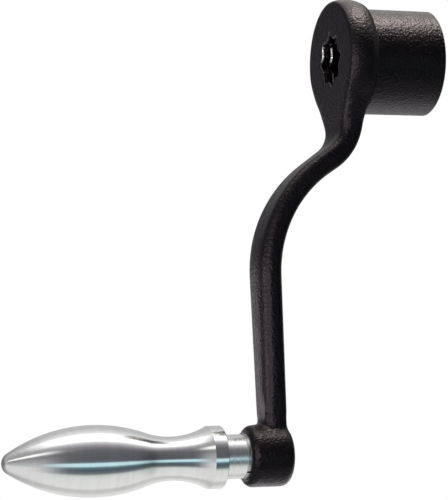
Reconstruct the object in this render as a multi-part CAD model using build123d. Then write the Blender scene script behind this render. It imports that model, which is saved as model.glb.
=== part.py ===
from build123d import *

import math
import os

# Winch handle: a coated cast crank arm with a star-socket hub at one end and
# a polished grip that turns freely on a steel spindle at the other.
# The origin is the centre of the hub's winch-side end face. +X points along
# the socket's axis towards the winch, +Z is up, the arm hangs along -Z and
# the grip points along -X. All sizes are in millimetres.

OVERRUN = 1.0  # how far a cut runs past the face it opens

# Hub
STAR_FLATS = 17.5  # across the flats of each of the star's two squares
STAR_TIP_RADIUS = STAR_FLATS / math.sqrt(2.0)
STAR_STEP_DEG = 22.5
STAR_NOTCH_RADIUS = STAR_FLATS / 2.0 / math.cos(math.radians(STAR_STEP_DEG))
STAR_NOTCH_EDGE = 1.0
STAR_LEAD = 0.9  # chamfer round the star's mouth, in the eye and in the insert
BARREL_RADIUS = 23.6
BARREL_BACK_X = -33.4  # where the barrel's shoulder meets the arm's eye
BARREL_EDGE = 0.6
SPIGOT_RADIUS = 20.0
SPIGOT_END_X = -42.4
INSERT_RADIUS = 15.5
INSERT_CHAMFER = 0.6
EYE_FRONT_X = -46.4
EYE_FACE_RADIUS = 26.2
EYE_CROWN_RADIUS = 27.6
EYE_BACK_RADIUS = 25.9
EYE_FACE_EDGE = 1.8

# Scotch keys that lock the socket insert in the barrel
KEY_RADIUS = 2.0
KEY_END_X = -12.0
KEY_SETBACK = 0.3

# Spring detent in the top of the barrel
DETENT_X = -14.0
BALL_RADIUS = 2.5
BALL_HOLE_RADIUS = 2.6
LIP_RADIUS = 2.2
LIP_Z = 12.9
BALL_PLAY = 0.02
SPRING_FOOT_Z = 16.7
SPRING_HEAD_Z = 19.4
SPRING_RADIUS = 1.75
SPRING_WIRE_RADIUS = 0.22
SPRING_TURNS = 4
SCREW_RADIUS = 3.0
SCREW_HEAD_Z = 22.8
SCREW_CHAMFER = 0.4
SCREW_HEX_FLATS = 3.0
SCREW_HEX_DEPTH = 1.8

# Arm
THROW = 175.0  # from the socket's axis to the grip's axis
LIMB_X = -81.6  # centre of the straight limb
LIMB_THICKNESS = 9.9
NECK_X = -42.2  # centre of the web below the eye
BEND_TOP_Z = -38.9  # where the bend's slope meets the neck's centre line
BEND_FOOT_Z = -67.9  # where it meets the limb's centre line
BEND_TOP_FRONT_RADIUS = 11.6
BEND_TOP_BACK_RADIUS = 29.0
BEND_FOOT_RADIUS = 58.0
WEB_BACK_TAPER_Z = -12.0
WEB_BACK_RADIUS = 40.0
WEB_FOOT_X = -38.1  # where the web's back line meets the bend's underside
WEB_FOOT_Z = -43.4
LIMB_BACK_TOP_Z = -68.2
EYE_OUTLINE_RADIUS = 26.7
SHOULDER_DEG = 30.5  # where the web leaves the eye, below the horizontal
SHOULDER_BLEND = 14.0
NECK_HALF_WIDTH = 12.4
FOOT_HALF_WIDTH = 7.6
LIMB_EDGE = 3.4

# Grip boss at the foot of the arm
BOSS_RADIUS = 13.4
BOSS_FRONT_X = -94.8
BOSS_BACK_X = -75.4
BOSS_BACK_EDGE = 4.0
BOSS_FRONT_EDGE = 3.0
BOSS_BLEND = 2.5

# Spindle and the small parts on it
THREAD_RADIUS = 6.0
THREAD_END_X = -79.9
THREAD_HOLE_END_X = -78.9
THREAD_CHAMFER = 0.8
LOCK_WASHER_THICKNESS = 1.4
LOCK_WASHER_RADIUS = 9.9
LOCK_WASHER_GAP = 1.0
LOCK_WASHER_TURN_DEG = 45.0
NECK_RADIUS = 9.5
NECK_END_X = -105.4
JOURNAL_RADIUS = 5.0
JOURNAL_END_X = -161.4
JOURNAL_CHAMFER = 0.7
RING_X = -156.4
RING_GROOVE_HALF_WIDTH = 0.9
RING_GROOVE_RADIUS = 4.2
RING_CENTRE_RADIUS = 5.3
RING_WIRE_RADIUS = 0.7
RING_OPENING_DEG = 30.0
THRUST_WASHER_THICKNESS = 1.2
THRUST_WASHER_RADIUS = 8.0

# Grip
RUNNING_CLEARANCE = 0.04
COLLAR_FACE_X = -105.8
COLLAR_RADIUS = 13.4
COLLAR_EDGE = 0.5
WAIST_X = -127.9
WAIST_RADIUS = 9.3
WAIST_ARC = 33.5
BELLY_RADIUS = 15.1
BELLY_ARC = 68.0
NOSE_ARC = 5.1
BUSH_RADIUS = 7.0
BUSH_LENGTH = 15.0
BUSH_BORE_END_X = -151.4
RECESS_FLOOR_X = -106.7
RECESS_RADIUS = 8.2
DEEP_BORE_RADIUS = 5.6
DEEP_BORE_END_X = -164.4
DRILL_POINT = 2.8
SLEEVE_GROOVE_RADIUS = 6.4


def turned(*corners):
    """A solid turned about the X axis from (x, radius) corners."""
    outline = make_face(Polyline(*corners, close=True))
    return revolve(Plane.XZ * outline, Axis.X)


def rod(x0, x1, radius):
    """A round bar along X, on the X axis."""
    return Pos((x0 + x1) / 2.0, 0, 0) * Rot(0, 90, 0) * Cylinder(radius, abs(x1 - x0))


def post(z0, z1, radius):
    """A round bar along Z, on the detent's axis."""
    return Pos(DETENT_X, 0, (z0 + z1) / 2.0) * Cylinder(radius, z1 - z0)


def star_prism(x0, x1):
    """The space of the eight-point socket between two places along X."""
    corners = []
    for step in range(round(360.0 / STAR_STEP_DEG)):
        radius = STAR_NOTCH_RADIUS if step % 2 else STAR_TIP_RADIUS
        turn = math.radians(STAR_STEP_DEG * step)
        corners.append((radius * math.sin(turn), radius * math.cos(turn)))
    star = Sketch() + make_face(Polyline(*corners, close=True))
    middle = (STAR_NOTCH_RADIUS + STAR_TIP_RADIUS) / 2.0
    notches = star.vertices().filter_by(lambda v: math.hypot(v.X, v.Y) < middle)
    star = fillet(notches, STAR_NOTCH_EDGE)
    return extrude(Plane.YZ.offset(x0) * star, x1 - x0)


def star_lead(solid, mouth_x):
    """The solid with the star's edges chamfered at the mouth that faces -X."""
    mouth = solid.edges().filter_by_position(Axis.X, mouth_x, mouth_x)
    return chamfer(mouth.filter_by(inside_star), STAR_LEAD)


def inside_star(edge):
    """Whether an edge lies within the star's points round the X axis."""
    middle = edge @ 0.5
    return math.hypot(middle.Y, middle.Z) < STAR_TIP_RADIUS


def key_bars():
    """The two Scotch keys, half in the insert and half in the barrel."""
    bar = rod(KEY_END_X, -KEY_SETBACK, KEY_RADIUS)
    return [Pos(0, side * INSERT_RADIUS, 0) * bar for side in (-1, 1)]


def key_holes():
    """The drillings for the keys, open at the hub's end face."""
    hole = rod(KEY_END_X, OVERRUN, KEY_RADIUS)
    return [Pos(0, side * INSERT_RADIUS, 0) * hole for side in (-1, 1)]


def side_profile():
    """The arm seen along Y: its front and back lines, closed at both ends."""
    half = LIMB_THICKNESS / 2.0
    slope = math.atan2(NECK_X - LIMB_X, BEND_TOP_Z - BEND_FOOT_Z)
    mitre = half * math.tan(slope / 2.0)
    top = EYE_CROWN_RADIUS
    with BuildSketch(Plane.XZ) as profile:
        with BuildLine():
            front = FilletPolyline(
                (EYE_FRONT_X, top),
                (EYE_FRONT_X, BEND_TOP_Z + mitre),
                (LIMB_X - half, BEND_FOOT_Z + mitre),
                (LIMB_X - half, -THROW),
                radius=[BEND_TOP_FRONT_RADIUS, BEND_FOOT_RADIUS + half],
            )
            back = FilletPolyline(
                (BARREL_BACK_X, top),
                (BARREL_BACK_X, WEB_BACK_TAPER_Z),
                (WEB_FOOT_X, WEB_FOOT_Z),
                (LIMB_X + half, LIMB_BACK_TOP_Z),
                (LIMB_X + half, -THROW),
                radius=[WEB_BACK_RADIUS, BEND_TOP_BACK_RADIUS, BEND_FOOT_RADIUS - half],
            )
            Line(front @ 0, back @ 0)
            Line(front @ 1, back @ 1)
        make_face()
    return profile.sketch


def front_outline():
    """The arm seen along X: the round eye, its shoulders and the tapered limb."""
    turn = math.radians(SHOULDER_DEG)
    shoulder = Vector(math.cos(turn), -math.sin(turn)) * EYE_OUTLINE_RADIUS
    run = (shoulder.X - NECK_HALF_WIDTH) / math.sin(turn)
    neck = shoulder + Vector(-math.sin(turn), -math.cos(turn)) * run
    right = [(shoulder.X, shoulder.Y), (neck.X, neck.Y), (FOOT_HALF_WIDTH, -THROW)]
    left = [(-y, z) for y, z in reversed(right)]
    outline = Circle(EYE_OUTLINE_RADIUS) + make_face(Polyline(*right, *left, close=True))
    corners = outline.vertices().filter_by_position(Axis.Y, neck.Y - 1.0, neck.Y + 1.0)
    return fillet(corners, SHOULDER_BLEND)


def limb_solid():
    """The swan-necked limb, from the eye down to the boss's centre."""
    across = extrude(side_profile(), 2.0 * EYE_CROWN_RADIUS, both=True)
    length = EYE_FRONT_X - BOSS_FRONT_X + 2.0 * BOSS_RADIUS
    along = extrude(Plane.YZ.offset(BOSS_FRONT_X) * front_outline(), length + BOSS_RADIUS)
    blank = across & along
    sharp = blank.edges().filter_by(lambda e: e.center().Z > 1.0 - THROW)
    rims = sharp.filter_by(lambda e: abs(e.center().Y) > 1.0 or e.center().Z > 0)
    return fillet(rims, LIMB_EDGE)


def eye_solid():
    """The eye's crowned disc."""
    with BuildSketch(Plane.XZ) as profile:
        with BuildLine():
            Line((EYE_FRONT_X, 0), (EYE_FRONT_X, EYE_FACE_RADIUS))
            ThreePointArc(
                (EYE_FRONT_X, EYE_FACE_RADIUS),
                ((EYE_FRONT_X + BARREL_BACK_X) / 2.0, EYE_CROWN_RADIUS),
                (BARREL_BACK_X, EYE_BACK_RADIUS),
            )
            Line((BARREL_BACK_X, EYE_BACK_RADIUS), (BARREL_BACK_X, 0))
            Line((BARREL_BACK_X, 0), (EYE_FRONT_X, 0))
        make_face()
    disc = revolve(profile.sketch, Axis.X)
    return fillet(disc.edges().group_by(Axis.X)[0], EYE_FACE_EDGE)


def boss_solid():
    """The grip boss, rounded at the back."""
    boss = rod(BOSS_FRONT_X, BOSS_BACK_X, BOSS_RADIUS)
    boss = fillet(boss.edges().group_by(Axis.X)[-1], BOSS_BACK_EDGE)
    boss = fillet(boss.edges().group_by(Axis.X)[0], BOSS_FRONT_EDGE)
    return Pos(0, 0, -THROW) * boss


def crank_arm():
    """The cast arm: eye, limb and boss, with the eye's and boss's holes."""
    limb = limb_solid()
    boss = boss_solid()
    foot = limb + boss
    foot = fillet(new_edges(limb, boss, combined=foot), BOSS_BLEND)
    arm = foot + eye_solid()
    arm -= rod(SPIGOT_END_X, BARREL_BACK_X + OVERRUN, SPIGOT_RADIUS)
    arm -= star_prism(EYE_FRONT_X - OVERRUN, SPIGOT_END_X + OVERRUN)
    arm -= Pos(0, 0, -THROW) * rod(BOSS_FRONT_X - OVERRUN, THREAD_HOLE_END_X, THREAD_RADIUS)
    return star_lead(arm, EYE_FRONT_X)


def hub_barrel():
    """The turned barrel, with a spigot that fills the arm's eye."""
    barrel = turned(
        (SPIGOT_END_X, INSERT_RADIUS),
        (SPIGOT_END_X, SPIGOT_RADIUS),
        (BARREL_BACK_X, SPIGOT_RADIUS),
        (BARREL_BACK_X, BARREL_RADIUS),
        (-BARREL_EDGE, BARREL_RADIUS),
        (0, BARREL_RADIUS - BARREL_EDGE),
        (0, INSERT_RADIUS),
    )
    for hole in key_holes():
        barrel -= hole
    barrel -= post(LIP_Z, BARREL_RADIUS + OVERRUN, BALL_HOLE_RADIUS)
    barrel -= post(SPRING_HEAD_Z, BARREL_RADIUS + OVERRUN, SCREW_RADIUS)
    return barrel


def socket_insert():
    """The star-broached sleeve in the barrel."""
    insert = turned(
        (SPIGOT_END_X, 0),
        (SPIGOT_END_X, INSERT_RADIUS),
        (0, INSERT_RADIUS),
        (0, 0),
    )
    insert -= star_prism(SPIGOT_END_X - OVERRUN, OVERRUN)
    lead = turned(
        (-INSERT_CHAMFER, 0),
        (-INSERT_CHAMFER, STAR_TIP_RADIUS),
        (0, STAR_TIP_RADIUS + INSERT_CHAMFER),
        (0, 0),
    )
    insert -= lead
    for hole in key_holes():
        insert -= hole
    insert -= post(0, LIP_Z + OVERRUN, LIP_RADIUS)
    insert -= post(LIP_Z, INSERT_RADIUS + OVERRUN, BALL_HOLE_RADIUS)
    return star_lead(insert, SPIGOT_END_X)


def socket_keys():
    """Both Scotch keys, as separate solids."""
    return Compound(children=[Part(bar.wrapped) for bar in key_bars()])


def ball_centre_z():
    """Height of the detent ball's centre when it rests on its lip."""
    return LIP_Z + BALL_PLAY + math.sqrt(BALL_RADIUS**2 - LIP_RADIUS**2)


def detent_ball():
    """The steel ball that clicks into the winch shaft's dimple."""
    return Pos(DETENT_X, 0, ball_centre_z()) * Sphere(BALL_RADIUS)


def detent_spring():
    """The coil spring behind the ball."""
    height = SPRING_HEAD_Z - SPRING_FOOT_Z - 2.0 * SPRING_WIRE_RADIUS
    coil = Helix(height / SPRING_TURNS, height, SPRING_RADIUS)
    section = Plane(origin=coil @ 0, z_dir=coil % 0) * Circle(SPRING_WIRE_RADIUS)
    wire = sweep(section, path=coil)
    return Pos(DETENT_X, 0, SPRING_FOOT_Z + SPRING_WIRE_RADIUS) * wire


def detent_screw():
    """The headless screw that holds the spring in."""
    screw = post(SPRING_HEAD_Z, SCREW_HEAD_Z, SCREW_RADIUS)
    screw = chamfer(screw.edges().group_by(Axis.Z)[-1], SCREW_CHAMFER)
    hexagon = RegularPolygon(SCREW_HEX_FLATS / 2.0, 6, major_radius=False)
    socket = extrude(hexagon, SCREW_HEX_DEPTH)
    return screw - Pos(DETENT_X, 0, SCREW_HEAD_Z - SCREW_HEX_DEPTH) * socket


def spindle():
    """The steel spindle: thread, shoulder, journal and ring groove."""
    shoulder_x = BOSS_FRONT_X - LOCK_WASHER_THICKNESS
    bar = turned(
        (THREAD_END_X, 0),
        (THREAD_END_X, THREAD_RADIUS - THREAD_CHAMFER),
        (THREAD_END_X - THREAD_CHAMFER, THREAD_RADIUS),
        (shoulder_x, THREAD_RADIUS),
        (shoulder_x, NECK_RADIUS),
        (NECK_END_X, NECK_RADIUS),
        (NECK_END_X, JOURNAL_RADIUS),
        (RING_X + RING_GROOVE_HALF_WIDTH, JOURNAL_RADIUS),
        (RING_X + RING_GROOVE_HALF_WIDTH, RING_GROOVE_RADIUS),
        (RING_X - RING_GROOVE_HALF_WIDTH, RING_GROOVE_RADIUS),
        (RING_X - RING_GROOVE_HALF_WIDTH, JOURNAL_RADIUS),
        (JOURNAL_END_X + JOURNAL_CHAMFER, JOURNAL_RADIUS),
        (JOURNAL_END_X, JOURNAL_RADIUS - JOURNAL_CHAMFER),
        (JOURNAL_END_X, 0),
    )
    return Pos(0, 0, -THROW) * bar


def lock_washer():
    """The split washer under the spindle's shoulder."""
    back_x = BOSS_FRONT_X - LOCK_WASHER_THICKNESS
    ring = rod(back_x, BOSS_FRONT_X, LOCK_WASHER_RADIUS)
    ring -= rod(back_x - OVERRUN, BOSS_FRONT_X + OVERRUN, THREAD_RADIUS)
    slot = Pos(BOSS_FRONT_X, -LOCK_WASHER_RADIUS / 2.0, 0)
    slot *= Box(2.0 * (LOCK_WASHER_THICKNESS + OVERRUN), LOCK_WASHER_RADIUS, LOCK_WASHER_GAP)
    return Pos(0, 0, -THROW) * Rot(LOCK_WASHER_TURN_DEG, 0, 0) * (ring - slot)


def thrust_washer():
    """The washer between the spindle's shoulder and the grip."""
    end_x = NECK_END_X - THRUST_WASHER_THICKNESS
    ring = rod(end_x, NECK_END_X, THRUST_WASHER_RADIUS)
    ring -= rod(end_x - OVERRUN, NECK_END_X + OVERRUN, JOURNAL_RADIUS + RUNNING_CLEARANCE)
    return Pos(0, 0, -THROW) * ring


def bush(x0, x1):
    """A plain bearing bush in the grip, between two places along X."""
    ring = rod(x0, x1, BUSH_RADIUS)
    ring -= rod(x0 - OVERRUN, x1 + OVERRUN, JOURNAL_RADIUS + RUNNING_CLEARANCE)
    return Pos(0, 0, -THROW) * ring


def inner_bush():
    """The bush at the grip's collar."""
    return bush(RECESS_FLOOR_X - BUSH_LENGTH, RECESS_FLOOR_X)


def outer_bush():
    """The bush deep in the grip."""
    return bush(BUSH_BORE_END_X, BUSH_BORE_END_X + BUSH_LENGTH)


def snap_ring():
    """The open wire ring that keeps the grip on the spindle."""
    section = Pos(RING_X, RING_CENTRE_RADIUS) * Circle(RING_WIRE_RADIUS)
    ring = revolve(Plane.XZ * section, Axis.X, 360.0 - RING_OPENING_DEG)
    return Pos(0, 0, -THROW) * ring


def grip_form():
    """The grip's turned outside: collar, waist, belly and nose, all tangent."""
    waist = Vector(WAIST_X, WAIST_RADIUS + WAIST_ARC)
    drop = waist.Y - (BELLY_RADIUS - BELLY_ARC)
    belly_x = WAIST_X - math.sqrt((WAIST_ARC + BELLY_ARC) ** 2 - drop**2)
    belly = Vector(belly_x, BELLY_RADIUS - BELLY_ARC)
    nose_x = belly_x - math.sqrt((BELLY_ARC - NOSE_ARC) ** 2 - belly.Y**2)
    nose = Vector(nose_x, 0)
    collar_end_x = WAIST_X + math.sqrt(WAIST_ARC**2 - (waist.Y - COLLAR_RADIUS) ** 2)
    to_belly = belly + (waist - belly).normalized() * BELLY_ARC
    to_nose = belly + (nose - belly).normalized() * BELLY_ARC
    nose_turn = math.atan2(to_nose.Y, to_nose.X - nose_x)
    nose_mid = (nose_turn + math.pi) / 2.0
    tip = (nose_x - NOSE_ARC, 0)
    with BuildSketch(Plane.XZ) as profile:
        with BuildLine():
            Line(tip, (COLLAR_FACE_X, 0))
            Line((COLLAR_FACE_X, 0), (COLLAR_FACE_X, COLLAR_RADIUS - COLLAR_EDGE))
            Line(
                (COLLAR_FACE_X, COLLAR_RADIUS - COLLAR_EDGE),
                (COLLAR_FACE_X - COLLAR_EDGE, COLLAR_RADIUS),
            )
            Line((COLLAR_FACE_X - COLLAR_EDGE, COLLAR_RADIUS), (collar_end_x, COLLAR_RADIUS))
            ThreePointArc((collar_end_x, COLLAR_RADIUS), (WAIST_X, WAIST_RADIUS), to_belly)
            ThreePointArc(to_belly, (belly_x, BELLY_RADIUS), to_nose)
            ThreePointArc(
                to_nose,
                (nose_x + NOSE_ARC * math.cos(nose_mid), NOSE_ARC * math.sin(nose_mid)),
                tip,
            )
        make_face()
    return revolve(profile.sketch, Axis.X)


def grip_sleeve():
    """The polished grip, bored blind from its collar."""
    cavity = turned(
        (COLLAR_FACE_X + OVERRUN, 0),
        (COLLAR_FACE_X + OVERRUN, RECESS_RADIUS),
        (RECESS_FLOOR_X, RECESS_RADIUS),
        (RECESS_FLOOR_X, BUSH_RADIUS),
        (BUSH_BORE_END_X, BUSH_RADIUS),
        (BUSH_BORE_END_X, DEEP_BORE_RADIUS),
        (RING_X + RING_GROOVE_HALF_WIDTH, DEEP_BORE_RADIUS),
        (RING_X + RING_GROOVE_HALF_WIDTH, SLEEVE_GROOVE_RADIUS),
        (RING_X - RING_GROOVE_HALF_WIDTH, SLEEVE_GROOVE_RADIUS),
        (RING_X - RING_GROOVE_HALF_WIDTH, DEEP_BORE_RADIUS),
        (DEEP_BORE_END_X, DEEP_BORE_RADIUS),
        (DEEP_BORE_END_X - DRILL_POINT, 0),
    )
    return Pos(0, 0, -THROW) * (grip_form() - cavity)


PARTS = {
    "crank_arm": crank_arm,
    "hub_barrel": hub_barrel,
    "socket_insert": socket_insert,
    "socket_keys": socket_keys,
    "detent_ball": detent_ball,
    "detent_spring": detent_spring,
    "detent_screw": detent_screw,
    "spindle": spindle,
    "lock_washer": lock_washer,
    "thrust_washer": thrust_washer,
    "inner_bush": inner_bush,
    "outer_bush": outer_bush,
    "snap_ring": snap_ring,
    "grip_sleeve": grip_sleeve,
}

os.makedirs("parts", exist_ok=True)
for name, make in PARTS.items():
    export_step(make(), f"parts/{name}.step")
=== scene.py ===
import math

import bpy
import numpy as np
from mathutils import Matrix, Vector


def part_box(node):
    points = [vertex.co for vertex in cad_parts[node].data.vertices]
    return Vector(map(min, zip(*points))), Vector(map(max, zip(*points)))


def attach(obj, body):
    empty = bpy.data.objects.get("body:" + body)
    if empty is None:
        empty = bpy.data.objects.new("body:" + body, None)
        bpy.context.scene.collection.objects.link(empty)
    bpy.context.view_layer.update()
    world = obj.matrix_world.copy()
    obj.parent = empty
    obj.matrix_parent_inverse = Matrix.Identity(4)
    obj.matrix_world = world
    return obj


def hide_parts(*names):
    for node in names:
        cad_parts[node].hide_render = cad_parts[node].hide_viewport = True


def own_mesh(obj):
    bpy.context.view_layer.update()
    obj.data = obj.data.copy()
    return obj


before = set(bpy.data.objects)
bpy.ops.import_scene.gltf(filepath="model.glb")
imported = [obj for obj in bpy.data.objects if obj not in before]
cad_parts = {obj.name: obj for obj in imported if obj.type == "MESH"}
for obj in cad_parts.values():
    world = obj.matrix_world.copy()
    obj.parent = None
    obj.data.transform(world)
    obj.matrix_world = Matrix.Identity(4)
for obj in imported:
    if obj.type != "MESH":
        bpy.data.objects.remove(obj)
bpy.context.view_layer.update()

# Winch handle: its materials, the finer arm, grip and spring that stand for
# their CAD nodes, the studio and the camera. Everything is in metres in the
# CAD frame: the socket's axis is the X axis, the arm hangs along -Z and the
# grip points along -X.

MM = 0.001
SPIGOT_END_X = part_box("hub_barrel")[0].x
EYE_FACE_X = SPIGOT_END_X - 4.0 * MM  # the eye's face stands beyond the spigot
SEAM_X = SPIGOT_END_X + 9.0 * MM  # where the eye's rim meets the barrel

# Masks run from zero at the first number to one at the second.
IN_SOCKET = (13.6 * MM, 13.3 * MM)  # distance from the socket's axis
WALL_DEPTH = (0.10 * MM, 0.25 * MM)  # depth behind the socket's mouth
LEAD_DEPTH = (1.15 * MM, 0.95 * MM)  # the chamfer at the mouth ends here
HIGHLIGHT_FOOT = (1.6 * MM, 2.4 * MM)  # heights of the part of the lead with a painted highlight
HIGHLIGHT_TOP = (8.4 * MM, 7.6 * MM)
HIGHLIGHT_SIDE = (4.0 * MM, 5.0 * MM)
# How far the painted shade round the hub's joint reaches on each side.
SHADE_ON_RIM = (-3.2 * MM, -1.0 * MM)  # along X from the joint
SHADE_ON_BARREL = (1.3 * MM, 0.4 * MM)

COAT_TINT = (1.0, 0.86, 0.98, 1.0)
COAT_DEEP = (0.0004, 0.0003, 0.0004, 1)
COAT_DEEP_LIGHT = (0.0012, 0.0009, 0.0011, 1)
COAT_DUST = (0.0045, 0.0038, 0.0036, 1)
COAT_RUBBED = (0.050, 0.047, 0.047, 1)
COAT_PAINTED_SHADE = (0.0002, 0.0002, 0.0002, 1)
SOCKET_WALL = (0.035, 0.033, 0.034, 1)
LEAD_PAINTED_HIGHLIGHT = (0.62, 0.61, 0.60, 1)
OIL_DARK = (0.020, 0.019, 0.020, 1)
OIL_LIGHT = (0.060, 0.056, 0.056, 1)
OIL_WORN = (0.12, 0.115, 0.11, 1)
BRIGHT_EDGE = (0.97, 0.97, 0.97, 1)
BRONZE_OILED = (0.45, 0.29, 0.13, 1)
BRONZE_DRY = (0.66, 0.46, 0.22, 1)
BRONZE_EDGE = (0.86, 0.68, 0.40, 1)
PAPER_DARK = (0.86, 0.86, 0.86, 1)
PAPER_LIGHT = (0.90, 0.90, 0.90, 1)


# ---------------------------------------------------------------- node tools
class Tree:
    """A short way to add and join shader nodes."""

    def __init__(self, owner):
        owner.use_nodes = True
        self.nodes = owner.node_tree.nodes
        self.links = owner.node_tree.links

    def add(self, kind, **settings):
        node = self.nodes.new(kind)
        for key, value in settings.items():
            setattr(node, key, value)
        return node

    def feed(self, socket, value):
        """Joins an output to a socket, or sets the socket's own value."""
        if isinstance(value, bpy.types.NodeSocket):
            self.links.new(value, socket)
        else:
            socket.default_value = value

    def place(self):
        """The point's own place in the CAD frame, in metres."""
        return self.add("ShaderNodeTexCoord").outputs["Object"]

    def scaled(self, vector, scale):
        node = self.add("ShaderNodeMapping")
        self.feed(node.inputs["Vector"], vector)
        node.inputs["Scale"].default_value = scale
        return node.outputs["Vector"]

    def noise(self, vector, scale, detail=2.0, roughness=0.5):
        node = self.add("ShaderNodeTexNoise")
        self.feed(node.inputs["Vector"], vector)
        node.inputs["Scale"].default_value = scale
        node.inputs["Detail"].default_value = detail
        node.inputs["Roughness"].default_value = roughness
        return node.outputs["Fac"]

    def cells(self, vector, scale, smoothness=0.6):
        node = self.add("ShaderNodeTexVoronoi", feature="SMOOTH_F1")
        self.feed(node.inputs["Vector"], vector)
        node.inputs["Scale"].default_value = scale
        node.inputs["Smoothness"].default_value = smoothness
        return node.outputs["Distance"]

    def math(self, operation, first, second=0.0, clamp=False):
        node = self.add("ShaderNodeMath", operation=operation, use_clamp=clamp)
        self.feed(node.inputs[0], first)
        self.feed(node.inputs[1], second)
        return node.outputs[0]

    def times(self, *factors):
        """The product of two or more values."""
        product = factors[0]
        for factor in factors[1:]:
            product = self.math("MULTIPLY", product, factor)
        return product

    def between(self, value, low, high, to_low=0.0, to_high=1.0):
        node = self.add("ShaderNodeMapRange")
        self.feed(node.inputs["Value"], value)
        node.inputs["From Min"].default_value = low
        node.inputs["From Max"].default_value = high
        node.inputs["To Min"].default_value = to_low
        node.inputs["To Max"].default_value = to_high
        return node.outputs["Result"]

    def mix(self, share, first, second):
        node = self.add("ShaderNodeMix", data_type="RGBA")
        self.feed(node.inputs["Factor"], share)
        self.feed(node.inputs["A"], first)
        self.feed(node.inputs["B"], second)
        return node.outputs["Result"]

    def bump(self, height, distance, under=None):
        node = self.add("ShaderNodeBump")
        self.feed(node.inputs["Height"], height)
        node.inputs["Distance"].default_value = distance
        node.inputs["Strength"].default_value = 1.0
        if under is not None:
            self.feed(node.inputs["Normal"], under)
        return node.outputs["Normal"]

    def split(self, vector):
        """The x, y and z of a vector."""
        node = self.add("ShaderNodeSeparateXYZ")
        self.feed(node.inputs[0], vector)
        return node.outputs["X"], node.outputs["Y"], node.outputs["Z"]

    def socket_depth(self, place, mouth_x):
        """Masks of the star socket's walls and of the part of its lead with a painted
        highlight.
        """
        x, y, z = self.split(place)
        across = self.add("ShaderNodeCombineXYZ")
        self.feed(across.inputs["Y"], y)
        self.feed(across.inputs["Z"], z)
        length = self.add("ShaderNodeVectorMath", operation="LENGTH")
        self.feed(length.inputs[0], across.outputs[0])
        inside = self.between(length.outputs["Value"], *IN_SOCKET)
        depth = self.math("SUBTRACT", x, mouth_x)
        walls = self.times(inside, self.between(depth, *WALL_DEPTH))
        lead = self.times(walls, self.between(depth, *LEAD_DEPTH))
        # The lead is cut down to its upper far part, which carries a painted highlight.
        above = self.between(z, *HIGHLIGHT_FOOT)
        under = self.between(z, *HIGHLIGHT_TOP)
        far_side = self.between(y, *HIGHLIGHT_SIDE)
        return walls, self.times(lead, self.times(above, under, far_side))

    def seam(self, place, seam_x):
        """Painted shade: one at the joint line round the hub, and zero a little way from it.
        """
        x = self.split(place)[0]
        rim = self.between(x, *(seam_x + offset for offset in SHADE_ON_RIM))
        barrel = self.between(x, *(seam_x + offset for offset in SHADE_ON_BARREL))
        return self.times(rim, barrel)

    def edges(self, radius, gain=6.0):
        """About one on sharp outer and inner edges, and zero on flats."""
        bevel = self.add("ShaderNodeBevel", samples=4)
        bevel.inputs["Radius"].default_value = radius
        normal = self.add("ShaderNodeNewGeometry").outputs["Normal"]
        dot = self.add("ShaderNodeVectorMath", operation="DOT_PRODUCT")
        self.feed(dot.inputs[0], bevel.outputs["Normal"])
        self.feed(dot.inputs[1], normal)
        turn = self.math("SUBTRACT", 1.0, dot.outputs["Value"])
        return self.math("MULTIPLY", turn, gain, clamp=True)


def shader(name, **constants):
    """A material whose constants sit on the Principled shader's own sockets."""
    material = bpy.data.materials.new(name)
    tree = Tree(material)
    surface = tree.nodes["Principled BSDF"]
    for key, value in constants.items():
        surface.inputs[key.replace("_", " ")].default_value = value
    return material, tree, surface


# ----------------------------------------------------------------- materials
def powder_coat(name, grain, relief, gloss, mouth_x=None):
    """Black textured powder coat: orange peel, fine grain, rubbed edges and painted shade at
    the hub's joint.

    The grain is in cells per metre and the relief in metres. With mouth_x, the socket's walls
    behind that face are bare oiled metal, with a painted highlight on the upper far part of
    their lead.
    """
    material, tree, surface = shader(
        name, Specular_IOR_Level=0.17, Specular_Tint=COAT_TINT
    )
    place = tree.place()
    blotch = tree.noise(place, scale=55.0, detail=3.0)
    grit = tree.noise(place, scale=1500.0, detail=2.0)
    deep = tree.mix(tree.between(blotch, 0.35, 0.65), COAT_DEEP, COAT_DEEP_LIGHT)
    dusty = tree.mix(tree.between(grit, 0.58, 0.76, to_high=0.6), deep, COAT_DUST)
    rubbed = tree.times(tree.edges(0.7 * MM), tree.between(blotch, 0.40, 0.70))
    colour = tree.mix(tree.times(rubbed, 0.55), dusty, COAT_RUBBED)
    if mouth_x is not None:
        walls, lead = tree.socket_depth(place, mouth_x)
        tree.feed(surface.inputs["Metallic"], walls)
        colour = tree.mix(walls, colour, SOCKET_WALL)
        # Painted highlight: the upper far part of the socket's lead turns near white, where
        # the chamfer catches the light.
        colour = tree.mix(lead, colour, LEAD_PAINTED_HIGHLIGHT)
    # Painted shade: the colour goes near black along the joint between the eye's rim and the
    # barrel, and the roughness rises there.
    crease_shade = tree.seam(place, SEAM_X)
    tree.feed(surface.inputs["Base Color"], tree.mix(crease_shade, colour, COAT_PAINTED_SHADE))
    sheen = tree.noise(place, scale=260.0, detail=3.0)
    rough = tree.between(sheen, 0.3, 0.7, to_low=gloss - 0.05, to_high=gloss + 0.07)
    duller = tree.math("ADD", rough, tree.times(crease_shade, 0.5))
    tree.feed(surface.inputs["Roughness"], duller)
    peel = tree.bump(tree.cells(place, grain), relief)
    fine_grain = tree.noise(place, scale=grain * 1.3, detail=3.0)
    fine = tree.bump(fine_grain, 0.9 * relief, under=peel)
    tree.feed(surface.inputs["Normal"], fine)
    return material


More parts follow.
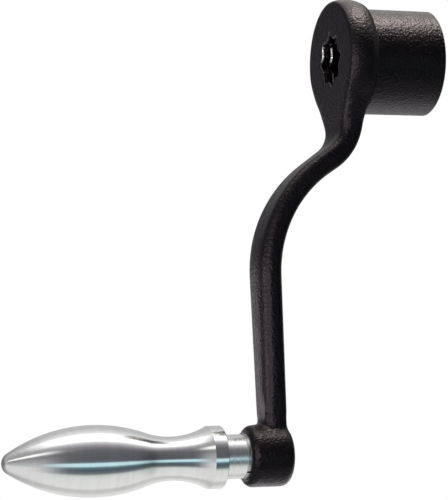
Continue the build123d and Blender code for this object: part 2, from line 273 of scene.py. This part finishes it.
def oiled_steel(name, mouth_x):
    """The broached insert: dark oiled walls behind a lead with a painted highlight on its
    upper far part.
    """
    material, tree, surface = shader(name, Metallic=1.0)
    place = tree.place()
    walls, lead = tree.socket_depth(place, mouth_x)
    broaching = tree.scaled(place, (60.0, 1500.0, 1500.0))
    streak = tree.noise(broaching, scale=1.0, detail=3.0)
    dark = tree.mix(streak, OIL_DARK, OIL_LIGHT)
    worn = tree.mix(tree.times(tree.edges(0.3 * MM), 0.5), dark, OIL_WORN)
    # Painted highlight: the upper far part of the lead turns near white, where the chamfer
    # catches the light.
    tree.feed(surface.inputs["Base Color"], tree.mix(lead, worn, LEAD_PAINTED_HIGHLIGHT))
    rough = tree.between(streak, 0.3, 0.7, to_low=0.22, to_high=0.38)
    tree.feed(surface.inputs["Roughness"], rough)
    tree.feed(surface.inputs["Normal"], tree.bump(streak, 0.012 * MM))
    return material


LATHE_RINGS = (2600.0, 3.0, 3.0)
EVEN_SMEAR = (90.0, 90.0, 90.0)
DRAWN_WIRE = (900.0, 900.0, 900.0)


def turned_metal(
    name, colour, gloss, groove, waver, rings=LATHE_RINGS, smear=EVEN_SMEAR, **constants
):
    """Bare metal with fine lathe rings round the X direction.

    The groove is in metres. Rings and smear are noise scales along x, y and z,
    and waver is how far they move the roughness about gloss.
    """
    material, tree, surface = shader(name, Metallic=1.0, **constants)
    place = tree.place()
    ring = tree.noise(tree.scaled(place, rings), scale=1.0, detail=3.0)
    haze = tree.noise(tree.scaled(place, smear), scale=1.0, detail=4.0, roughness=0.65)
    low = tuple(0.93 * part for part in colour) + (1,)
    high = tuple(colour) + (1,)
    tone = tree.mix(tree.between(haze, 0.3, 0.62), low, high)
    worn = tree.times(tree.edges(0.35 * MM), 0.35)
    tree.feed(surface.inputs["Base Color"], tree.mix(worn, tone, BRIGHT_EDGE))
    rough = tree.math(
        "ADD",
        tree.between(ring, 0.3, 0.7, to_low=gloss - waver, to_high=gloss + waver),
        tree.between(haze, 0.45, 0.8, to_high=waver),
    )
    tree.feed(surface.inputs["Roughness"], rough)
    tree.feed(surface.inputs["Normal"], tree.bump(ring, groove))
    if constants:
        tangent = tree.add("ShaderNodeTangent", direction_type="RADIAL", axis="X")
        tree.feed(surface.inputs["Tangent"], tangent.outputs[0])
    return material


def cast_bronze(name):
    """Sintered bearing bronze, slightly porous and oil-dark."""
    material, tree, surface = shader(name, Metallic=1.0)
    place = tree.place()
    pores = tree.noise(place, scale=2200.0, detail=3.0)
    oil = tree.noise(place, scale=160.0, detail=3.0)
    tone = tree.mix(tree.between(oil, 0.35, 0.7), BRONZE_OILED, BRONZE_DRY)
    worn = tree.times(tree.edges(0.3 * MM), 0.5)
    tree.feed(surface.inputs["Base Color"], tree.mix(worn, tone, BRONZE_EDGE))
    rough = tree.between(pores, 0.3, 0.7, to_low=0.26, to_high=0.42)
    tree.feed(surface.inputs["Roughness"], rough)
    tree.feed(surface.inputs["Normal"], tree.bump(pores, 0.03 * MM))
    return material


FINISHES = {
    "crank_arm": powder_coat("cast_powder_coat", 850.0, 0.17 * MM, 0.34, EYE_FACE_X),
    "hub_barrel": powder_coat("barrel_powder_coat", 900.0, 0.18 * MM, 0.30),
    "socket_insert": oiled_steel("broached_steel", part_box("socket_insert")[0].x),
    "socket_keys": turned_metal(
        "key_steel", (0.46, 0.45, 0.44), gloss=0.30, groove=0.006 * MM, waver=0.06
    ),
    "detent_ball": turned_metal(
        "ball_steel", (0.80, 0.80, 0.80), gloss=0.10, groove=0.001 * MM, waver=0.03
    ),
    "detent_spring": turned_metal(
        "spring_wire", (0.55, 0.54, 0.52), gloss=0.24, groove=0.004 * MM, waver=0.05,
        rings=DRAWN_WIRE,
    ),
    "detent_screw": turned_metal(
        "blued_screw_steel", (0.10, 0.10, 0.115), gloss=0.32, groove=0.006 * MM, waver=0.06
    ),
    "spindle": turned_metal(
        "satin_spindle_steel", (1.0, 1.0, 0.99), gloss=0.27, groove=0.022 * MM, waver=0.08
    ),
    "lock_washer": turned_metal(
        "zinc_washer", (0.60, 0.60, 0.59), gloss=0.30, groove=0.006 * MM, waver=0.06
    ),
    "thrust_washer": cast_bronze("thrust_bronze"),
    "inner_bush": cast_bronze("inner_bush_bronze"),
    "outer_bush": cast_bronze("outer_bush_bronze"),
    "snap_ring": turned_metal(
        "snap_ring_wire", (0.50, 0.49, 0.47), gloss=0.26, groove=0.004 * MM, waver=0.05,
        rings=DRAWN_WIRE,
    ),
    "grip_sleeve": turned_metal(
        "polished_grip_metal", (0.97, 0.97, 0.965), gloss=0.15, groove=0.0022 * MM,
        waver=0.03, rings=(1100.0, 5.0, 5.0), smear=(420.0, 26.0, 26.0),
        Anisotropic=0.9, Anisotropic_Rotation=0.25,
    ),
}

for node, finish in FINISHES.items():
    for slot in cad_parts[node].material_slots:
        slot.material = finish


# -------------------------------------------------------------------- meshes
def piece(name, mesh, body, node):
    """A new visible piece that stands for a CAD node and rides on its body."""
    made = bpy.data.objects.new(name, mesh)
    bpy.context.scene.collection.objects.link(made)
    mesh.materials.clear()
    mesh.materials.append(FINISHES[node])
    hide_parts(node)
    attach(made, body)
    return made


def read_points(mesh):
    """The mesh's vertices as rows of x, y and z."""
    flat = np.empty(len(mesh.vertices) * 3)
    mesh.vertices.foreach_get("co", flat)
    return flat.reshape(-1, 3)


def write_points(mesh, points):
    """Moves the mesh's vertices to rows of x, y and z."""
    mesh.vertices.foreach_set("co", points.ravel())
    mesh.update()


def relax(mesh, weight, rounds):
    """Moves every vertex towards its neighbours' mean, by its own weight."""
    points = read_points(mesh)
    count = len(points)
    ends = np.empty(len(mesh.edges) * 2, dtype=int)
    mesh.edges.foreach_get("vertices", ends)
    first, second = ends.reshape(-1, 2).T
    degree = np.bincount(ends, minlength=count)
    share = weight(points)[:, None]
    for step in range(rounds):
        total = [
            np.bincount(first, points[second, axis], count)
            + np.bincount(second, points[first, axis], count)
            for axis in range(3)
        ]
        points = points + share * (np.stack(total, axis=1) / degree[:, None] - points)
    write_points(mesh, points)


def fade(value, full, none):
    """One at full, zero at none and smooth between them."""
    share = np.clip((none - value) / (none - full), 0.0, 1.0)
    return share * share * (3.0 - 2.0 * share)


def everywhere(points):
    return np.full(len(points), 0.4)


def eye_root(points):
    """Where the limb runs into the eye's rim."""
    from_rim = np.abs(np.hypot(points[:, 1], points[:, 2]) - 28.0 * MM)
    near = fade(from_rim, full=3.0 * MM, none=8.0 * MM)
    return 0.5 * near * fade(points[:, 2], full=-12.0 * MM, none=-3.0 * MM)


def boss_root(points):
    """Where the limb runs into the top of the grip's boss."""
    from_root = np.abs(points[:, 2] + 161.5 * MM)
    return 0.5 * fade(from_root, full=1.5 * MM, none=5.5 * MM)


LIMB_TOP_Z = -70.0 * MM
LIMB_FOOT_Z = -156.0 * MM
LIMB_TOP_FADE = 25.0 * MM
LIMB_FOOT_FADE = 10.0 * MM
LIMB_POWER = 2.8  # of the oval: 2 is an ellipse, and more is squarer
LIMB_GROWTH = 1.095  # of the oval against the cast bar's own width and depth
ROW_STEP = 1.0 * MM
ROW_REACH = 0.8 * MM
LEAST_SIZE = 0.5  # keeps the division safe: no skin is nearer the middle than this


def round_limb(mesh):
    """Rounds the straight limb's section towards an oval."""
    points = read_points(mesh)
    x, y, z = points.T
    heights = np.arange(LIMB_FOOT_Z, LIMB_TOP_Z, ROW_STEP)
    near = [np.abs(z - height) < ROW_REACH for height in heights]
    front = np.interp(z, heights, [x[row].min() for row in near])
    back = np.interp(z, heights, [x[row].max() for row in near])
    half = np.interp(z, heights, [np.abs(y[row]).max() for row in near])
    middle = (front + back) / 2.0
    off_x = x - middle
    size = np.abs(2.0 * off_x / (back - front)) ** LIMB_POWER
    size = (size + np.abs(y / half) ** LIMB_POWER) ** (1.0 / LIMB_POWER)
    share = fade(z, full=LIMB_TOP_Z - LIMB_TOP_FADE, none=LIMB_TOP_Z)
    share = share * fade(z, full=LIMB_FOOT_Z + LIMB_FOOT_FADE, none=LIMB_FOOT_Z)
    scale = 1.0 + share * (LIMB_GROWTH / np.maximum(size, LEAST_SIZE) - 1.0)
    points[:, 0] = middle + off_x * scale
    points[:, 1] = y * scale
    write_points(mesh, points)


def cast_arm():
    """The arm as it is cast: one even skin, softened where the limb meets the eye."""
    blank = bpy.data.objects.new("blank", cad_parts["crank_arm"].data.copy())
    bpy.context.scene.collection.objects.link(blank)
    remesh = blank.modifiers.new("remesh", "REMESH")
    remesh.mode = "VOXEL"
    remesh.voxel_size = 0.42 * MM
    remesh.use_smooth_shade = True
    graph = bpy.context.evaluated_depsgraph_get()
    mesh = bpy.data.meshes.new_from_object(blank.evaluated_get(graph))
    bpy.data.objects.remove(blank)
    mesh.name = "cast_arm"
    relax(mesh, everywhere, rounds=5)
    relax(mesh, eye_root, rounds=60)
    relax(mesh, boss_root, rounds=50)
    round_limb(mesh)
    return piece("cast_arm", mesh, "crank", "crank_arm")


def arc(centre, radius, start, end, steps):
    """Points on an arc in the (x, radius) plane, between two angles in degrees."""
    points = []
    for step in range(steps + 1):
        turn = math.radians(start + (end - start) * step / steps)
        x = centre[0] + radius * math.cos(turn)
        points.append((x, centre[1] + radius * math.sin(turn)))
    return points


ON_AXIS = 1e-6  # a smaller radius is a single point on the axis
SHARP_DEG = 28.0


def turned(name, outline, axis_z, segments):
    """A mesh turned about an axis along X, from (x, radius) points in millimetres."""
    points = []
    rows = []
    for x, radius in outline:
        rows.append(len(points))
        if radius < ON_AXIS:
            points.append((x * MM, 0.0, axis_z))
            continue
        for step in range(segments):
            turn = math.tau * step / segments
            y = radius * MM * math.sin(turn)
            points.append((x * MM, y, axis_z + radius * MM * math.cos(turn)))
    rows.append(len(points))
    faces = []
    for low, mid, high in zip(rows, rows[1:], rows[2:]):
        for step in range(segments):
            after = (step + 1) % segments
            if mid - low == 1:
                faces.append((low, mid + after, mid + step))
            elif high - mid == 1:
                faces.append((low + step, low + after, mid))
            else:
                faces.append((low + step, low + after, mid + after, mid + step))
    mesh = bpy.data.meshes.new(name)
    mesh.from_pydata(points, [], faces)
    mesh.shade_smooth()
    mesh.set_sharp_from_angle(angle=math.radians(SHARP_DEG))
    return mesh


# The grip's section in millimetres, with the sizes of the CAD part.
WAIST_X = -127.9
WAIST_RADIUS = 9.3
WAIST_ARC = 33.5
BELLY_RADIUS = 15.1
BELLY_ARC = 68.0
NOSE_ARC = 5.1
COLLAR_FACE_X = -105.8
COLLAR_RADIUS = 13.4
COLLAR_EDGE = 0.5
BORE = (
    (-105.8, 8.5),
    (-106.0, 8.2),
    (-106.7, 8.2),
    (-106.7, 7.0),
    (-151.4, 7.0),
    (-151.4, 5.6),
    (-155.5, 5.6),
    (-155.5, 6.4),
    (-157.3, 6.4),
    (-157.3, 5.6),
    (-164.4, 5.6),
    (-167.2, 0.0),
)
GRIP_SEGMENTS = 192


def grip_outline():
    """The grip's section from its tip round the outside and down the bore."""
    waist_y = WAIST_RADIUS + WAIST_ARC
    belly_y = BELLY_RADIUS - BELLY_ARC
    belly_x = WAIST_X - math.sqrt((WAIST_ARC + BELLY_ARC) ** 2 - (waist_y - belly_y) ** 2)
    nose_x = belly_x - math.sqrt((BELLY_ARC - NOSE_ARC) ** 2 - belly_y**2)
    to_nose = math.degrees(math.atan2(-belly_y, nose_x - belly_x))
    to_waist = math.degrees(math.atan2(waist_y - belly_y, WAIST_X - belly_x))
    collar_turn = -math.degrees(math.acos((waist_y - COLLAR_RADIUS) / WAIST_ARC))
    corner = (COLLAR_FACE_X - COLLAR_EDGE, COLLAR_RADIUS - COLLAR_EDGE)
    outline = arc((nose_x, 0.0), NOSE_ARC, 180.0, to_nose, steps=14)
    outline += arc((belly_x, belly_y), BELLY_ARC, to_nose, to_waist, steps=90)[1:]
    waist = arc((WAIST_X, waist_y), WAIST_ARC, to_waist - 180.0, -90.0 - collar_turn, steps=60)
    outline += waist[1:]
    outline += arc(corner, COLLAR_EDGE, 90.0, 0.0, steps=5)
    return outline + list(BORE)


def turned_grip():
    """The polished grip, turned finely enough for clean reflections."""
    low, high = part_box("grip_sleeve")
    mesh = turned("turned_grip", grip_outline(), (low.z + high.z) / 2.0, GRIP_SEGMENTS)
    return piece("turned_grip", mesh, "grip", "grip_sleeve")


def coil_spring():
    """The detent's spring, on its own copy of the CAD node's mesh."""
    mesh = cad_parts["detent_spring"].data.copy()
    spring = piece("coil_spring", mesh, "crank", "detent_spring")
    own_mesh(spring)


arm = cast_arm()
turned_grip()
coil_spring()


# -------------------------------------------------------------------- studio
# The light of the room round the X axis. Each stop is an angle in degrees from
# the front (-Y), upwards, and the light there. The first room is to the left of
# the handle and the second is round it.
LEFT_ROOM = (
    (-180.0, (0.17, 0.155, 0.175)),
    (-140.0, (0.30, 0.29, 0.30)),
    (-90.0, (0.70, 0.70, 0.70)),
    (-58.0, (0.72, 0.72, 0.72)),
    (-30.0, (0.68, 0.69, 0.69)),
    (-17.0, (0.48, 0.49, 0.50)),
    (5.0, (0.38, 0.38, 0.39)),
    (22.0, (0.25, 0.25, 0.26)),
    (30.0, (0.30, 0.30, 0.30)),
    (36.0, (1.30, 1.30, 1.30)),
    (41.0, (1.30, 1.30, 1.30)),
    (47.0, (0.34, 0.34, 0.34)),
    (68.0, (0.33, 0.33, 0.33)),
    (107.0, (0.45, 0.45, 0.45)),
    (150.0, (0.19, 0.175, 0.195)),
    (180.0, (0.17, 0.155, 0.175)),
)
MAIN_ROOM = (
    (-180.0, (0.70, 0.70, 0.70)),
    (-146.0, (0.78, 0.78, 0.77)),
    (-126.0, (0.62, 0.62, 0.61)),
    (-112.0, (0.55, 0.55, 0.54)),
    (-98.0, (0.78, 0.78, 0.77)),
    (-60.0, (0.70, 0.72, 0.71)),
    (-50.0, (0.60, 0.64, 0.62)),
    (-43.0, (0.16, 0.18, 0.19)),
    (-31.0, (0.065, 0.095, 0.115)),
    (-22.0, (0.13, 0.21, 0.24)),
    (-18.0, (0.55, 0.80, 0.86)),
    (-10.0, (0.62, 0.84, 0.88)),
    (-6.0, (0.12, 0.15, 0.17)),
    (3.0, (0.10, 0.10, 0.115)),
    (32.0, (0.12, 0.125, 0.13)),
    (42.0, (0.20, 0.19, 0.20)),
    (52.0, (0.38, 0.37, 0.39)),
    (61.0, (0.70, 0.70, 0.71)),
    (67.0, (1.40, 1.40, 1.40)),
    (90.0, (1.40, 1.40, 1.40)),
    (100.0, (0.80, 0.80, 0.80)),
    (125.0, (0.52, 0.52, 0.53)),
    (160.0, (0.50, 0.50, 0.51)),
    (180.0, (0.70, 0.70, 0.70)),
)
ROOM_CHANGE = (-0.50, -0.20)  # along X, from all of the left room to all of the main
BEHIND_SHARE = 0.3  # how much further right that change is behind the handle
RIGHT_FADE = (0.65, 0.90)  # along X, where the room darkens at its right end
RIGHT_STRENGTH = 0.3


def light_ramp(tree, share, stops):
    """A colour ramp from (degrees, light) stops."""
    ramp = tree.add("ShaderNodeValToRGB")
    tree.feed(ramp.inputs["Fac"], share)
    marks = ramp.color_ramp.elements
    for degrees, light in stops[1:-1]:
        marks.new((degrees + 180.0) / 360.0)
    for mark, (degrees, light) in zip(marks, stops):
        mark.position = (degrees + 180.0) / 360.0
        mark.color = light + (1,)
    return ramp.outputs["Color"]


def studio_world():
    """White for the camera, and a room of soft bands for light and gloss."""
    world = bpy.data.worlds.new("studio")
    bpy.context.scene.world = world
    tree = Tree(world)
    x, y, z = tree.split(tree.add("ShaderNodeTexCoord").outputs["Generated"])
    front = tree.times(y, -1.0)
    share = tree.between(tree.math("ARCTAN2", z, front), -math.pi, math.pi)
    behind = tree.times(tree.math("MAXIMUM", y, 0.0), BEHIND_SHARE)
    along = tree.between(tree.math("SUBTRACT", x, behind), *ROOM_CHANGE)
    room = tree.nodes["Background"]
    left = light_ramp(tree, share, LEFT_ROOM)
    main = light_ramp(tree, share, MAIN_ROOM)
    tree.feed(room.inputs["Color"], tree.mix(along, left, main))
    strength = tree.between(x, *RIGHT_FADE, to_low=1.0, to_high=RIGHT_STRENGTH)
    tree.feed(room.inputs["Strength"], strength)
    plain = tree.add("ShaderNodeBackground")
    plain.inputs["Color"].default_value = (1, 1, 1, 1)
    choice = tree.add("ShaderNodeMixShader")
    tree.feed(choice.inputs["Fac"], tree.add("ShaderNodeLightPath").outputs["Is Camera Ray"])
    tree.links.new(room.outputs[0], choice.inputs[1])
    tree.links.new(plain.outputs[0], choice.inputs[2])
    tree.links.new(choice.outputs[0], tree.nodes["World Output"].inputs["Surface"])


def softbox(name, place, target, size, power, colour=(1, 1, 1)):
    """A rectangular area light that faces its target."""
    lamp = bpy.data.lights.new(name, "AREA")
    lamp.shape = "RECTANGLE"
    lamp.size, lamp.size_y = size
    lamp.energy = power
    lamp.color = colour
    box = bpy.data.objects.new(name, lamp)
    bpy.context.scene.collection.objects.link(box)
    box.location = place
    way = Vector(target) - Vector(place)
    box.rotation_euler = way.to_track_quat("-Z", "Y").to_euler()
    box.visible_camera = False
    return box


def light_only(lamps, group, things):
    """Makes the lamps light nothing but the things, through a new collection."""
    lit = bpy.data.collections.new(group)
    for thing in things:
        lit.objects.link(thing)
    for lamp in lamps:
        lamp.light_linking.receiver_collection = lit


def floor(height, half):
    """A plain pale floor under the object."""
    mesh = bpy.data.meshes.new("floor")
    sides = ((-half, -half), (half, -half), (half, half), (-half, half))
    mesh.from_pydata([(x, y, height) for x, y in sides], [], [(0, 1, 2, 3)])
    plane = bpy.data.objects.new("floor", mesh)
    bpy.context.scene.collection.objects.link(plane)
    material, tree, surface = shader("floor_paper", Roughness=0.9)
    paper = tree.noise(tree.place(), scale=400.0, detail=3.0)
    tree.feed(surface.inputs["Base Color"], tree.mix(paper, PAPER_DARK, PAPER_LIGHT))
    mesh.materials.append(material)
    plane.visible_glossy = False
    return plane


def camera(place, right, up, lens):
    """The camera that looks square to its right and up directions."""
    data = bpy.data.cameras.new("camera")
    data.lens = lens
    data.sensor_width = 36.0
    data.clip_start = 0.01
    data.clip_end = 100.0
    eye = bpy.data.objects.new("camera", data)
    bpy.context.scene.collection.objects.link(eye)
    x_axis = Vector(right).normalized()
    z_axis = x_axis.cross(Vector(up)).normalized()
    y_axis = z_axis.cross(x_axis)
    turn = Matrix((x_axis, y_axis, z_axis)).transposed().to_4x4()
    eye.matrix_world = Matrix.Translation(place) @ turn
    bpy.context.scene.camera = eye


FLOOR_Z = -0.42
FLOOR_HALF = 4.0
WARM = (1.0, 0.94, 0.84)
ROSE = (1.0, 0.95, 1.0)
HUB = (-0.03, 0.0, 0.0)
LIMB = (-0.09, 0.0, -0.14)
# Name, place, target, width and height in metres, power in watts, and colour.
COAT_LAMPS = (
    ("coat_top", (0.18, -0.10, 0.75), HUB, (0.42, 0.34), 8.2, WARM),
    ("coat_top_left", (-0.25, -0.04, 0.70), HUB, (0.5, 0.5), 2.8, WARM),
    ("coat_top_back", (0.20, 0.40, 0.60), HUB, (0.5, 0.5), 0.9, WARM),
    ("coat_low", (0.10, 0.25, -0.40), HUB, (0.5, 0.4), 0.7, ROSE),
    ("coat_left", (-0.50, -0.60, -0.16), LIMB, (0.8, 0.6), 5.2, ROSE),
    ("coat_far_left", (-0.85, 0.02, -0.16), LIMB, (0.5, 0.35), 3.4, ROSE),
    ("coat_limb", (-0.36, 0.75, -0.12), LIMB, (0.25, 0.25), 0.42, ROSE),
)

studio_world()
ground = floor(FLOOR_Z, FLOOR_HALF)
coat_lamps = [softbox(*lamp) for lamp in COAT_LAMPS]
camera(
    place=(-0.3748, -0.8152, -0.19973),
    right=(0.94859, -0.31373, -0.04174),
    up=(-0.00202, -0.13787, 0.99045),
    lens=144.0,
)

view = bpy.context.scene.view_settings
view.view_transform = "Standard"
view.look = "None"

# The coated pieces and the floor have lamps of their own, so that the polished
# grip keeps its clean bands.
floor_fill = softbox("floor_fill", (0.0, 0.0, 2.4), (0.0, 0.0, FLOOR_Z), (6.0, 6.0), 60.0)
light_only([floor_fill], "lit_floor", [ground])
coated = [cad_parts[node] for node in ("hub_barrel", "socket_insert", "detent_screw")]
light_only(coat_lamps, "coated", coated + [arm])
